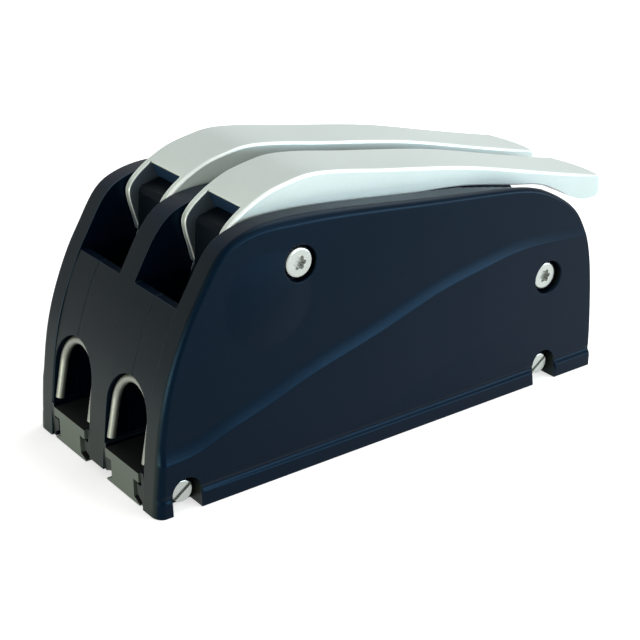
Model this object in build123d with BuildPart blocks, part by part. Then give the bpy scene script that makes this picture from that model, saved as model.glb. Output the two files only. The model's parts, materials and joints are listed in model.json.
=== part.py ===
from build123d import *
from math import atan2, cos, hypot, radians, sin
import os

os.makedirs("parts", exist_ok=True)

# Double lever rope clutch, in millimetres.
# Origin: centre of the deck-bolt pattern on the deck plane. +X towards the lever tails
# (the winch end), -X towards the rope arches (the load end), +Z up off the deck.

# ---- Body -------------------------------------------------------------------
unit_pitch = 31.5          # between the two rope lines
cell_width = 23.3          # clear width of one rope cell
outer_wall = 7.6           # thickness of an outer wall
front_reach = 85.4         # origin to the foot of the front edge
rear_reach = 84.0          # origin to the foot of the rear edge
wall_height = 79.8         # deck to the crown of a wall
edge_radius = 1.4          # rounding of the outer rim of a wall
swell = 0.6                # how far the side below the crease stands proud
lip_proud = 1.0            # the foot lip beyond the side face
lip_height = 5.0
centre_inset = 0.3         # centre wall and front flanges inside the rim of the outer walls
centre_lift = 2.2          # foot of the centre wall above the deck
flange_thickness = 2.6
flange_reach = 18.0        # front foot to behind the top of a flange
seam_gap = 0.25            # between a front cheek and the centre flange
well_edge = 58.4           # top of the front flanges
arch_top = 36.2            # crown of the rope arch
arch_side = 0.45           # what an arch leaves standing beside each wall
arch_band = 4.0            # full-depth band over the arch
arch_depth = 10.0          # front foot to the back of the arch
relief_x = 54.0            # where the sloping relief on a wall's inner edge is deepest
relief_drop = 11.0         # wall crown down to the top of the relief there
relief_depth = 2.6         # at the cell side
relief_slope = 14.0        # fall of the relief towards the rear, degrees
relief_length = 40.0

# ---- Base plates and deck fixings --------------------------------------------
plate_thickness = 10.6
plate_setback = 0.4        # front of a base plate behind the front foot
plate_rear = 83.0
plate_gap = 0.85           # side clearance of a plate between the foot ledges
ledge_width = 1.4          # step along the foot of a wall, into the cell
ledge_height = 11.3
foot_lip = 0.2             # least upright edge under a tongue
ledge_setback = 0.8        # front of a ledge behind the foot of its wall
tongue_width = 2.4         # beyond the ledge, into the plate's side groove
tongue_root = 1.5          # underside of the tongue at the ledge
tongue_low = 3.3           # underside of the tongue at its tip
tongue_high = 6.6
groove_depth = 3.0
groove_low = 1.85
groove_high = 7.6
groove_mouth = 0.5         # the groove's floor slopes down to this at the plate's side
bolt_spacing = 104.0       # deck bolts of one plate, along X
bolt_hole_radius = 3.25    # M6 clearance
bolt_head_radius = 6.4     # countersink mouth
pad_centre = -5.0          # rope pad under the cam, X of its middle
pad_length = 36.0
pad_width = 13.0
pad_thickness = 2.6
pad_proud = 0.9
pad_gap = 0.05
rib_pitch = 3.0            # ribs across the pad
rib_depth = 0.35

# ---- Axles and screws --------------------------------------------------------
pivot_x = -46.2            # lever pivot
pivot_drop = 22.7          # lever pivot below the crown
cam_axle_x = -35.2
cam_axle_drop = 14.1
rear_axle_x = 62.5
rear_axle_z = 36.9
axle_radius = 4.0
run_gap = 0.05             # radial running gap of every turning fit
seat_gap = 0.02            # radial gap of a fixed pin in its hole
pocket_depth = 2.8         # axle ends in the outer walls
dome_radius = 14.7
dome_height = 0.8
torx_head_radius = 4.75
torx_head_height = 2.4
torx_front_set = 0.5       # head faces inboard of the side face
torx_rear_set = 1.4
torx_bore_radius = 5.9
torx_recess_radius = 2.1
torx_shank_radius = 2.5
torx_shank_length = 9.0
tie_front_setback = 9.9    # tie screws from the feet of the front and rear edges
tie_rear_setback = 21.4
tie_z = 5.4
tie_head_radius = 3.46
tie_head_height = 3.8
tie_head_set = 1.8         # head face inboard of the side face
tie_shank_radius = 1.76
tie_shank_length = 12.0
tie_slot_width = 1.1
tie_slot_tilt = 35.0
tie_slot_depth = 1.2
notch_width = 9.5          # gap in the foot lip round a tie screw
notch_height = 10.9

# ---- Lever ---------------------------------------------------------------------
lever_width = 22.0
lever_crown = 88.0         # top of the lever above the deck, at its hump
fork_gap = 16.8            # between the ears
fork_front = -1.4          # top edge of the notch between the ears, from the pivot
fork_slope = 3.2           # how far the notch's back leans back below that edge
notch_drop = 5.7           # notch edge below the lever's crown
fork_reach = 24.0          # the gap under the web, from the pivot
eye_radius = 6.6
skirt_thickness = 2.6
skin_thickness = 3.4
drive_width = 12.6
web_rise = 16.2            # underside of the web behind the fork, above the pivot
drive_pin_radius = 1.5
drive_pin_rise = 13.4      # above the lever pivot
lever_open = 68.0          # full travel, degrees
ear_sweep = 22.6           # relief for the ears inside the front flanges, about the pivot
ear_clearance = 0.4        # between the ears and the cam axle's spacers
tail_end = 95.0            # middle of the lever's tail
tail_bow = 3.3             # its end is bowed, seen from above
tail_round = 1.6           # upper corner of the tail
lip_round = 2.2            # lower corner of the tail

# ---- Cam -----------------------------------------------------------------------
cam_width = 12.4
cam_lift = 22.0            # cam travel at full lever travel, degrees
cam_hub_radius = 6.3
cam_bush_wall = 1.0
shelf_gap = 8.0            # lever pivot down to the cam's shelf
shelf_thickness = 4.6
lobe_gap = 0.3
cam_rest_gap = 0.6         # toe teeth above the rope pad at rest
toe_centre = 26.0          # lowest point of the toe, from the cam axle
toe_front = 11.0
toe_back = 40.0
toe_front_rise = 3.0       # ends of the toe above its lowest point
toe_back_rise = 7.5
back_reach = 30.0          # top of the toe
back_rise = 16.0
tooth_count = 7
tooth_pitch = 3.2
tooth_depth = 1.3
tooth_drop = 4.6           # rise of the tooth line at drop_reach from its middle
drop_reach = 15.0
spacer_radius = 5.6
spring_wire = 1.1
spring_turns = 4
wire_radius = 1.3          # rope guide wire
wire_depth = 2.6           # wire centre behind the front foot of the flange
wire_lift = 2.5            # cut ends of the wire above the base plate
wire_gap = 0.1             # wire to the sides of the arch
wire_drop = 0.2            # wire to the crown of the arch
wire_lean = 11.5           # the guide leans back with the front edge, degrees

# ---- Rear guard -------------------------------------------------------------
guard_inset = 2.0          # behind the rim of the walls
guard_gap = 0.05           # to the walls
guard_wall = 2.4
guard_rise = 14.0          # foot of the guard above the base plate
guard_height = 22.0
guard_front = 3.5          # ahead of the rear axle
boss_wall = 3.0            # round the rear axle
exit_rise = 10.0           # centre of the rope exit above the base plate
exit_side = 1.6            # what the rope exit leaves beside each wall

# ---- Worked out -----------------------------------------------------------------
cell_half = cell_width / 2
wall_inner = unit_pitch / 2 + cell_half
wall_outer = wall_inner + outer_wall
centre_half = unit_pitch / 2 - cell_half
cell_centres = [-unit_pitch / 2, unit_pitch / 2]
pivot_z = wall_height - pivot_drop
cam_axle_z = wall_height - cam_axle_drop
plate_front = front_reach - plate_setback
plate_half = cell_half - ledge_width - plate_gap
pad_top = plate_thickness + pad_proud
tie_front_x = -front_reach + tie_front_setback
tie_rear_x = rear_reach - tie_rear_setback
notch_depth = tie_head_set + tie_head_height
front_bolt = (cam_axle_x, cam_axle_z, torx_front_set)
rear_bolt = (rear_axle_x, rear_axle_z, torx_rear_set)


def across(y):
    """Side-view plane at y: sketch x is X, sketch y is Z, and it extrudes towards -Y."""
    return Plane.XZ.offset(-y)


def profile_points():
    """Front edge, crown, sloping top and rear shoulder of every wall."""
    f, r, h = -front_reach, rear_reach, wall_height
    front = [(f + 1.0, 11.9), (f + 3.6, 30.6), (f + 7.9, 45.6), (f + 13.6, h - 21.5)]
    crown = [(f + 17.4, h - 15.1), (f + 22.2, h - 7.5), (f + 27.4, h - 3.0)]
    top = [(f + 35.6, h - 0.5), (f + 43.0, h), (f + 59.9, h - 0.9), (f + 98.6, h - 5.5)]
    slope = [(r - 38.0, h - 9.4), (r - 29.0, h - 11.3), (r - 22.0, h - 14.2)]
    rear = [(r - 11.4, h - 21.4), (r - 6.7, h - 28.0), (r - 4.1, 45.5), (r - 1.9, 35.0), (r - 0.1, 13.0)]
    return [(f, 0)] + front + crown + top + slope + rear + [(r, 0)]


def wall_outline(inset=0.0):
    """Closed side outline of a wall, or a line kept inset mm inside it."""
    with BuildLine() as rim:
        points = profile_points()
        edge = Spline(*points)
        Line(points[-1], points[0])
    if inset > 0:
        steps = 30
        with BuildLine() as rim:
            points = []
            for step in range(steps + 1):
                spot, along = edge @ (step / steps), edge % (step / steps)
                points.append((spot.X + inset * along.Y, spot.Y - inset * along.X))
            Spline(*points)
            Line(points[-1], points[0])
    make_face(rim.edges())


def swoosh_points():
    """Crease that crosses the side face from the front foot to the rear shoulder."""
    f, r, h = -front_reach, rear_reach, wall_height
    rise = [(f + 12.0, 17.0), (f + 24.3, 21.0), (f + 36.0, 24.4), (f + 54.0, 30.4)]
    run = [(f + 79.0, h - 42.8), (f + 101.5, h - 36.0), (f + 118.3, h - 32.8)]
    end = [(r - 33.6, h - 30.5), (r - 15.0, h - 31.4), (r + 4.0, h - 32.4)]
    return [(f - 4.0, 17.0)] + rise + run + end


def at_cell(part, centre):
    """The part, made on Y = 0, moved to the rope line at centre."""
    with BuildPart() as placed:
        with Locations((0, centre, 0)):
            add(part)
    return placed.part


def mirrored(part):
    """The same part on the far side of the clutch."""
    with BuildPart() as twin:
        mirror(part, about=Plane.XZ)
    return twin.part


def rod(x, z, y_low, y_high, radius, bore=0.0):
    """Round bar or tube along Y."""
    with BuildPart() as bar:
        with BuildSketch(across(y_high)):
            with Locations((x, z)):
                Circle(radius)
                if bore > 0:
                    Circle(bore, mode=Mode.SUBTRACT)
        extrude(amount=y_high - y_low)
    return bar.part


def save(part, name):
    part.label = name
    export_step(part, "parts/" + name + ".step")


# ---- Body ---------------------------------------------------------------------------
def flange_part(y_low, y_high):
    """Front wall over y_low..y_high of a cell whose rope line is Y = 0."""
    width = y_high - y_low
    arch_radius = cell_half - arch_side
    spring_line = arch_top - arch_radius
    band_top = arch_top + arch_band
    with BuildPart() as flange:
        with BuildSketch(across(y_high)):
            wall_outline(centre_inset)
            with Locations((-front_reach, ledge_height)):
                Rectangle(2 * flange_reach, well_edge - ledge_height, mode=Mode.INTERSECT,
                          align=(Align.CENTER, Align.MIN))
        extrude(amount=width)
        with BuildSketch(across(y_high)):
            wall_outline(centre_inset + flange_thickness)
            with Locations((-front_reach, band_top)):
                Rectangle(4 * flange_reach, well_edge, mode=Mode.INTERSECT, align=(Align.CENTER, Align.MIN))
        extrude(amount=width, mode=Mode.SUBTRACT)
        with BuildSketch(across(y_high)):
            with Locations((-front_reach + arch_depth, 0)):
                Rectangle(front_reach, band_top, align=(Align.MIN, Align.MIN))
        extrude(amount=width, mode=Mode.SUBTRACT)
        with BuildSketch(across(y_high)):
            with Locations((pivot_x, pivot_z)):
                Circle(ear_sweep)
        extrude(amount=width, mode=Mode.SUBTRACT)
        with BuildSketch(Plane.YZ.offset(-front_reach)):
            with Locations((0, spring_line)):
                Circle(arch_radius)
            Rectangle(2 * arch_radius, spring_line, align=(Align.CENTER, Align.MIN))
        extrude(amount=2 * flange_reach, mode=Mode.SUBTRACT)
    return flange.part


def foot_part(face, inwards, low, front):
    """Ledge and tongue along the foot of a wall whose cell side is the plane Y = face."""
    ledge = face + inwards * ledge_width
    tip = ledge + inwards * tongue_width
    root = max(low + foot_lip, tongue_root)
    with BuildPart() as foot:
        with BuildSketch(Plane.YZ.offset(front)):
            with BuildLine():
                Polyline((face, low), (ledge, low), (ledge, root), (tip, tongue_low), (tip, tongue_high),
                         (ledge, tongue_high), (ledge, ledge_height), (face, ledge_height), (face, low))
            make_face()
        extrude(amount=plate_rear - front)
    return foot.part


with BuildPart() as side_wall_near:
    with BuildSketch(across(-wall_inner)):
        wall_outline()
    extrude(amount=outer_wall)
    rim = side_wall_near.faces().sort_by(Axis.Y)[0].edges().sort_by(Axis.Z)[-1]
    fillet(rim, edge_radius)
    with BuildSketch(across(-wall_outer)):
        wall_outline(edge_radius + 0.3)
        with BuildLine():
            crease = swoosh_points()
            Spline(*crease)
            Polyline(crease[-1], (crease[-1][0], lip_height / 2), (crease[0][0], lip_height / 2), crease[0])
        make_face(mode=Mode.INTERSECT)
    extrude(amount=swell)
    with BuildSketch(across(-wall_outer)):
        with Locations(((rear_reach - front_reach) / 2, 0)):
            Rectangle(front_reach + rear_reach - 1.4, lip_height, align=(Align.CENTER, Align.MIN))
    extrude(amount=lip_proud)
    with BuildSketch(Plane.XY.offset(pivot_z)):
        with BuildLine():
            dome_tip = (pivot_x, -wall_outer - dome_height)
            ThreePointArc(dome_tip, (pivot_x + dome_radius / 2, -wall_outer - 0.75 * dome_height),
                          (pivot_x + dome_radius, -wall_outer))
            Polyline((pivot_x + dome_radius, -wall_outer), (pivot_x, -wall_outer), dome_tip)
        make_face()
    revolve(axis=Axis((pivot_x, 0, pivot_z), (0, 1, 0)))
    add(foot_part(-wall_inner, 1, 0, -front_reach + ledge_setback))
    fall = radians(relief_slope)
    relief_top = (relief_x, -wall_outer + edge_radius, wall_height - relief_drop)
    with BuildSketch(Plane(relief_top, x_dir=(0, 1, 0), z_dir=(cos(fall), 0, -sin(fall)))):
        with BuildLine():
            relief_width = outer_wall - edge_radius
            Polyline((0, 0), (relief_width, -relief_depth), (relief_width, relief_drop),
                     (0, relief_drop), (0, 0))
        make_face()
    extrude(amount=relief_length, both=True, mode=Mode.SUBTRACT)
    for tie_x in (tie_front_x, tie_rear_x):
        with BuildSketch(across(-wall_outer - lip_proud - 1)):
            with Locations((tie_x, 0)):
                SlotOverall(2 * notch_height, notch_width, rotation=90)
        extrude(amount=-(notch_depth + lip_proud + 1), mode=Mode.SUBTRACT)
        with BuildSketch(across(-wall_outer - 1)):
            with Locations((tie_x, tie_z)):
                Circle(tie_shank_radius + seat_gap)
        extrude(amount=-(outer_wall + ledge_width + tongue_width + 2), mode=Mode.SUBTRACT)
    for bolt_x, bolt_z, bolt_set in (front_bolt, rear_bolt):
        with BuildSketch(across(-wall_outer - 1)):
            with Locations((bolt_x, bolt_z)):
                Circle(torx_bore_radius)
        extrude(amount=-(bolt_set + torx_head_height + 1), mode=Mode.SUBTRACT)
        with BuildSketch(across(-wall_outer - 1)):
            with Locations((bolt_x, bolt_z)):
                Circle(torx_shank_radius + seat_gap)
        extrude(amount=-(outer_wall + 2), mode=Mode.SUBTRACT)
    with BuildSketch(across(-wall_inner + 1)):
        with Locations((pivot_x, pivot_z), (cam_axle_x, cam_axle_z), (rear_axle_x, rear_axle_z)):
            Circle(axle_radius + seat_gap)
    extrude(amount=pocket_depth + 1, mode=Mode.SUBTRACT)

with BuildPart() as centre_wall:
    with BuildSketch(across(centre_half)):
        wall_outline(centre_inset)
        with Locations((0, centre_lift)):
            Rectangle(4 * front_reach, wall_height, mode=Mode.INTERSECT, align=(Align.CENTER, Align.MIN))
        with Locations((pivot_x, pivot_z), (cam_axle_x, cam_axle_z), (rear_axle_x, rear_axle_z)):
            Circle(axle_radius + seat_gap, mode=Mode.SUBTRACT)
    extrude(amount=2 * centre_half)
    with Locations((0, unit_pitch / 2, 0)):
        add(flange_part(-cell_half, 0))
    with Locations((0, -unit_pitch / 2, 0)):
        add(flange_part(0, cell_half))
    for inwards in (-1, 1):
        foot_front = -front_reach + centre_inset + ledge_setback
        add(foot_part(inwards * centre_half, inwards, centre_lift, foot_front))

near_cheek = at_cell(flange_part(-cell_half, -seam_gap), -unit_pitch / 2)

# ---- Base plates, rope pads, rope guides ----------------------------------------------
with BuildPart() as base_plate:
    groove_face = plate_half - groove_depth
    with BuildSketch(Plane.YZ.offset(-plate_front)):
        with BuildLine():
            Polyline((0, 0), (plate_half, 0), (plate_half, groove_mouth), (groove_face, groove_low),
                     (groove_face, groove_high), (plate_half, groove_high), (plate_half, plate_thickness),
                     (0, plate_thickness), (0, 0))
        make_face()
        mirror(about=Plane.YZ)
    extrude(amount=plate_front + plate_rear)
    with Locations((-bolt_spacing / 2, 0, plate_thickness), (bolt_spacing / 2, 0, plate_thickness)):
        CounterSinkHole(bolt_hole_radius, bolt_head_radius)
    with Locations((pad_centre, 0, plate_thickness)):
        Box(pad_length + 2 * pad_gap, pad_width + 2 * pad_gap, pad_thickness - pad_proud,
            align=(Align.CENTER, Align.CENTER, Align.MAX), mode=Mode.SUBTRACT)
    for tie_x in (tie_front_x, tie_rear_x):
        with BuildSketch(across(cell_half + 1)):
            with Locations((tie_x, tie_z)):
                Circle(tie_shank_radius + seat_gap)
        extrude(amount=2 * cell_half + 2, mode=Mode.SUBTRACT)

with BuildPart() as rope_pad:
    with Locations((pad_centre, 0, pad_top)):
        Box(pad_length, pad_width, pad_thickness, align=(Align.CENTER, Align.CENTER, Align.MAX))
    rib_count = int((pad_length - 2 * rib_pitch) / rib_pitch)
    with BuildSketch(across(pad_width)):
        with Locations((pad_centre, pad_top)):
            with GridLocations(rib_pitch, 1, rib_count, 1):
                Rectangle(rib_pitch / 2, 2 * rib_depth)
    extrude(amount=2 * pad_width, mode=Mode.SUBTRACT)

guide_bottom = plate_thickness + wire_lift
guide_half = cell_half - arch_side - wire_radius - wire_gap
guide_plane = Plane((-front_reach + centre_inset + wire_depth, 0, guide_bottom), x_dir=(0, 1, 0),
                    z_dir=(cos(radians(wire_lean)), 0, -sin(radians(wire_lean))))
with BuildPart() as rope_guide:
    straight = arch_top - wire_drop - wire_radius - guide_half - guide_bottom
    with BuildLine(guide_plane) as guide_line:
        Line((-guide_half, 0), (-guide_half, straight))
        ThreePointArc((-guide_half, straight), (0, straight + guide_half), (guide_half, straight))
        Line((guide_half, straight), (guide_half, 0))
    with BuildSketch(Plane(guide_line.line @ 0, z_dir=guide_line.line % 0)):
        Circle(wire_radius)
    sweep()

# ---- Lever ---------------------------------------------------------------------------------
def lever_top():
    """Top of the lever, from the fork back to the tail."""
    h = lever_crown
    hump = [(pivot_x - 1.4, h - 5.7), (pivot_x + 5.9, h - 2.4), (pivot_x + 13.7, h - 0.7),
            (pivot_x + 21.2, h)]
    back = [(-9.1, h - 2.2), (-0.4, h - 3.9), (29.2, h - 9.2), (48.3, h - 13.7), (68.3, h - 19.0)]
    return hump + back + [(tail_end + 1, h - 26.0)]


def lever_underside():
    """Lower edge of the skirts, from the tail forward to the ears."""
    h = lever_crown
    lip = [(tail_end + 1, h - 31.4), (86.2, h - 32.0), (80.6, h - 30.4), (75.9, h - 27.9)]
    waist = [(67.4, h - 23.6), (53.9, h - 20.5), (35.8, h - 16.8), (20.4, h - 15.0)]
    front = [(0.0, h - 14.2), (-18.0, h - 13.6), (-32.0, h - 13.0)]
    return lip + waist + front


def ear_front():
    """Front of an ear, from the fork top down to the eye."""
    x, z = pivot_x, pivot_z
    return [(x - 1.4, lever_crown - 5.7), (x - 5.5, z + 22.4), (x - 8.5, z + 19.4), (x - 9.4, z + 17.0),
            (x - 9.0, z + 13.6), (x - 7.9, z + 9.4), (x - 6.4, z + 4.2)]


def ear_back():
    """Back of an ear, from the skirt down to the eye, clear of the cam axle's spacers."""
    x, z = pivot_x, pivot_z
    return [(-32.0, lever_crown - 13.0), (x + 8.4, z + 17.2), (x + 4.6, z + 13.0), (x + 3.7, z + 8.6),
            (x + 3.2, z + 5.8)]


with BuildPart() as handle:
    with BuildSketch(across(lever_width / 2)):
        with BuildLine():
            top = lever_top()
            under = lever_underside()
            Spline(*top)
            Line(top[-1], under[0])
            Spline(*under)
            back = ear_back()
            Spline(*back)
            front = ear_front()
            Line(back[-1], front[-1])
            Spline(*front)
        make_face()
        with Locations((pivot_x, pivot_z)):
            Circle(eye_radius)
    extrude(amount=lever_width)
    with BuildSketch(Plane.XY.offset(lever_crown)):
        with BuildLine():
            corner, side = tail_end - tail_bow, lever_width / 2
            ThreePointArc((corner, -side), (tail_end, 0), (corner, side))
            Polyline((corner, side), (tail_end + 2, side), (tail_end + 2, -side), (corner, -side))
        make_face()
    extrude(amount=-lever_crown, mode=Mode.SUBTRACT)
    ends = handle.faces().sort_by(Axis.X)[-1].edges().sort_by(Axis.Z)
    fillet(ends[-1], tail_round)
    fillet(ends[0], lip_round)
    with BuildSketch(across(fork_gap / 2)):
        with BuildLine():
            notch_x, web_z = pivot_x + fork_front, pivot_z + web_rise
            notch_z = lever_crown - notch_drop
            low_z, high_z = pivot_z - fork_reach, lever_crown + 1
            Polyline((notch_x, high_z), (notch_x, notch_z), (notch_x + fork_slope, web_z),
                     (pivot_x + fork_reach, web_z), (pivot_x + fork_reach, low_z),
                     (pivot_x - fork_reach, low_z), (pivot_x - fork_reach, high_z), (notch_x, high_z))
        make_face()
    extrude(amount=fork_gap, mode=Mode.SUBTRACT)
    with BuildSketch(across(lever_width / 2 - skirt_thickness)):
        with BuildLine():
            hollow_top = [(x, z - skin_thickness) for x, z in lever_top()[2:8]]
            Spline(*hollow_top)
            Polyline(hollow_top[-1], (hollow_top[-1][0], pivot_z), (hollow_top[0][0], pivot_z), hollow_top[0])
        make_face()
    extrude(amount=lever_width - 2 * skirt_thickness, mode=Mode.SUBTRACT)
    with BuildSketch(across(lever_width)):
        with Locations((pivot_x, pivot_z)):
            Circle(axle_radius + run_gap)
        with Locations((pivot_x, pivot_z + drive_pin_rise)):
            Circle(drive_pin_radius + seat_gap)
        with Locations((cam_axle_x, cam_axle_z)):
            Circle(spacer_radius + ear_clearance)
    extrude(amount=2 * lever_width, mode=Mode.SUBTRACT)


def lobe_points():
    """Lobe that presses the cam's shelf down in step with the lever.

    The shelf is a flat whose distance from the lever axle follows from how far the cam has
    turned about its own axle, so each point is where that flat touches the turning lobe.
    """
    dx, dz = cam_axle_x - pivot_x, cam_axle_z - pivot_z
    reach, bearing = hypot(dx, dz), atan2(dz, dx)
    ratio = cam_lift / lever_open
    points = []
    for step in range(9):
        turn = radians(cam_lift) * step / 8
        facing = radians(-90) + turn
        height = reach * cos(bearing - facing) + dz + shelf_gap - lobe_gap
        slope = reach * sin(bearing - facing) / (1 - 1 / ratio)
        own = facing - turn / ratio
        points.append((pivot_x + height * cos(own) - slope * sin(own),
                       pivot_z + height * sin(own) + slope * cos(own)))
    return points


def block_outline():
    """The drive block from the end of its lobe, over its top, back to the start of the lobe."""
    x, z = pivot_x, pivot_z
    face = [(x - 8.2, z + 5.0), (x - 7.4, z + 17.4), (x - 6.2, z + 19.2)]
    back = [(x + 0.2, z + 20.4), (x + 2.2, z + 14.8), (x + 3.6, z + 9.0), (x + 3.0, z)]
    return face + back


with BuildPart() as drive_block:
    x, z = pivot_x, pivot_z
    lobe = lobe_points()
    with BuildSketch(across(drive_width / 2)):
        with BuildLine():
            Spline(*lobe)
            Polyline(lobe[-1], *block_outline(), lobe[0])
        make_face()
        with Locations((x, z)):
            Circle(eye_radius)
            Circle(axle_radius + run_gap, mode=Mode.SUBTRACT)
        with Locations((x, z + drive_pin_rise)):
            Circle(drive_pin_radius + seat_gap, mode=Mode.SUBTRACT)
    extrude(amount=drive_width)

drive_pin = rod(pivot_x, pivot_z + drive_pin_rise, -lever_width / 2, lever_width / 2, drive_pin_radius)
ear_washer = rod(pivot_x, pivot_z, drive_width / 2 + 0.05, fork_gap / 2 - 0.05, eye_radius - 0.3,
                 axle_radius + run_gap)

# ---- Cam ------------------------------------------------------------------------------------
toe_low = pad_top + cam_rest_gap
shelf_z = pivot_z - shelf_gap


def cam_arm():
    """The cam's shelf under the drive block, from the front of the toe round to the hub."""
    x, shelf_front = cam_axle_x, pivot_x - 4.4
    under = [(x + 3.0, shelf_z - 11.0), (shelf_front + 1.2, shelf_z - shelf_thickness)]
    return under + [(shelf_front, shelf_z), (x - 3.8, shelf_z), (x - 3.4, cam_axle_z - 5.0)]


with BuildPart() as cam:
    x, z = cam_axle_x, cam_axle_z
    toe_start = (x + toe_front, toe_low + toe_front_rise)
    toe_end = (x + toe_back, toe_low + toe_back_rise)
    with BuildSketch(across(cam_width / 2)):
        with BuildLine():
            hub_back = (x + 6.0, z - 1.0)
            Polyline(hub_back, (x + back_reach, toe_low + back_rise), toe_end)
            ThreePointArc(toe_end, (x + toe_centre, toe_low), toe_start)
            Polyline(toe_start, *cam_arm(), hub_back)
        make_face()
        with Locations((x, z)):
            Circle(cam_hub_radius)
            Circle(axle_radius + run_gap + cam_bush_wall, mode=Mode.SUBTRACT)
    extrude(amount=cam_width)
    with BuildSketch(across(cam_width)):
        for tooth in range(tooth_count):
            tooth_x = (tooth - (tooth_count - 1) / 2) * tooth_pitch
            with Locations((x + toe_centre + tooth_x, toe_low + tooth_drop * (tooth_x / drop_reach) ** 2)):
                Rectangle(tooth_depth, tooth_depth, rotation=45)
    extrude(amount=2 * cam_width, mode=Mode.SUBTRACT)

cam_bush = rod(cam_axle_x, cam_axle_z, -cam_width / 2, cam_width / 2,
               axle_radius + run_gap + cam_bush_wall - seat_gap, axle_radius + run_gap)
side_room = cell_half - cam_width / 2
cam_spacer = rod(cam_axle_x, cam_axle_z, -cell_half + 0.05, -cam_width / 2 - 0.1, spacer_radius,
                 axle_radius + run_gap)

spring_radius = axle_radius + spring_wire / 2 + 0.3
spring_start = cam_width / 2 + spring_wire / 2 + 0.3
with BuildPart() as cam_spring:
    spring_pitch = (side_room - spring_wire - 0.7) / spring_turns
    with BuildLine() as coil:
        Helix(spring_pitch, spring_pitch * spring_turns, spring_radius,
              center=(cam_axle_x, spring_start, cam_axle_z), direction=(0, 1, 0))
    with BuildSketch(Plane(coil.line @ 0, z_dir=coil.line % 0)):
        Circle(spring_wire / 2)
    sweep(is_frenet=True)

# ---- Axles and screws -------------------------------------------------------------------------
axle_half = wall_inner + pocket_depth - 0.1


def tapped_axle(x, z):
    """Through axle with a blind tapped hole in each end."""
    with BuildPart() as axle:
        with BuildSketch(across(axle_half)):
            with Locations((x, z)):
                Circle(axle_radius)
        extrude(amount=2 * axle_half)
        for end in (-1, 1):
            with BuildSketch(across(end * axle_half)):
                with Locations((x, z)):
                    Circle(torx_shank_radius + seat_gap)
            extrude(amount=end * torx_shank_length, mode=Mode.SUBTRACT)
    return axle.part


def torx_screw(x, z, head_set):
    """Near-side pan-head screw with a six-lobed recess."""
    head_face = -wall_outer + head_set
    under_head = head_face + torx_head_height
    with BuildPart() as screw:
        with BuildSketch(across(under_head)):
            with Locations((x, z)):
                Circle(torx_head_radius)
        extrude(amount=torx_head_height)
        fillet(screw.faces().sort_by(Axis.Y)[0].edges(), 0.9)
        with BuildSketch(across(head_face - 0.5)):
            with Locations((x, z)):
                Circle(torx_recess_radius * 0.8)
                with PolarLocations(torx_recess_radius * 0.78, 6):
                    Circle(torx_recess_radius * 0.3)
        extrude(amount=-(1.5 + 0.5), mode=Mode.SUBTRACT)
        with BuildSketch(across(under_head + torx_shank_length)):
            with Locations((x, z)):
                Circle(torx_shank_radius)
        extrude(amount=torx_shank_length)
    return screw.part


def tie_screw(x):
    """Near-side slotted cheese-head screw that ties a wall to its base plate."""
    head_face = -wall_outer + tie_head_set
    with BuildPart() as screw:
        with BuildSketch(across(head_face + tie_head_height)):
            with Locations((x, tie_z)):
                Circle(tie_head_radius)
        extrude(amount=tie_head_height)
        fillet(screw.faces().sort_by(Axis.Y)[0].edges(), 0.4)
        with BuildSketch(across(head_face - 0.5)):
            with Locations((x, tie_z)):
                Rectangle(3 * tie_head_radius, tie_slot_width, rotation=tie_slot_tilt)
        extrude(amount=-(tie_slot_depth + 0.5), mode=Mode.SUBTRACT)
        with BuildSketch(across(head_face + tie_head_height + tie_shank_length)):
            with Locations((x, tie_z)):
                Circle(tie_shank_radius)
        extrude(amount=tie_shank_length)
    return screw.part


# ---- Rear guards ----------------------------------------------------------------------------------
with BuildPart() as rear_guard:
    guard_half = cell_half - guard_gap
    guard_start = rear_axle_x - guard_front
    with BuildSketch(across(guard_half)):
        wall_outline(guard_inset)
        with Locations((guard_start, plate_thickness + guard_rise)):
            Rectangle(rear_reach - guard_start, guard_height, mode=Mode.INTERSECT,
                      align=(Align.MIN, Align.MIN))
    extrude(amount=2 * guard_half)
    with BuildSketch(across(guard_half)):
        with Locations((rear_axle_x, rear_axle_z)):
            Circle(axle_radius + boss_wall)
    extrude(amount=2 * guard_half)
    with BuildSketch(across(guard_half - guard_wall)):
        wall_outline(guard_inset + guard_wall)
        with Locations((rear_axle_x + axle_radius + boss_wall, 0)):
            Rectangle(rear_reach - rear_axle_x, wall_height, mode=Mode.INTERSECT,
                      align=(Align.MIN, Align.MIN))
    extrude(amount=2 * (guard_half - guard_wall), mode=Mode.SUBTRACT)
    with BuildSketch(Plane.YZ.offset(guard_start - boss_wall)):
        with Locations((0, plate_thickness + exit_rise)):
            Circle(cell_half - exit_side)
    extrude(amount=rear_reach, mode=Mode.SUBTRACT)
    with BuildSketch(across(cell_half + 1)):
        with Locations((rear_axle_x, rear_axle_z)):
            Circle(axle_radius + seat_gap)
    extrude(amount=2 * cell_half + 2, mode=Mode.SUBTRACT)

# ---- Write every piece --------------------------------------------------------------------------------
save(side_wall_near.part, "side_wall_near")
save(mirrored(side_wall_near.part), "side_wall_far")
save(centre_wall.part, "centre_wall")
save(near_cheek, "front_cheek_near")
save(mirrored(near_cheek), "front_cheek_far")

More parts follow.
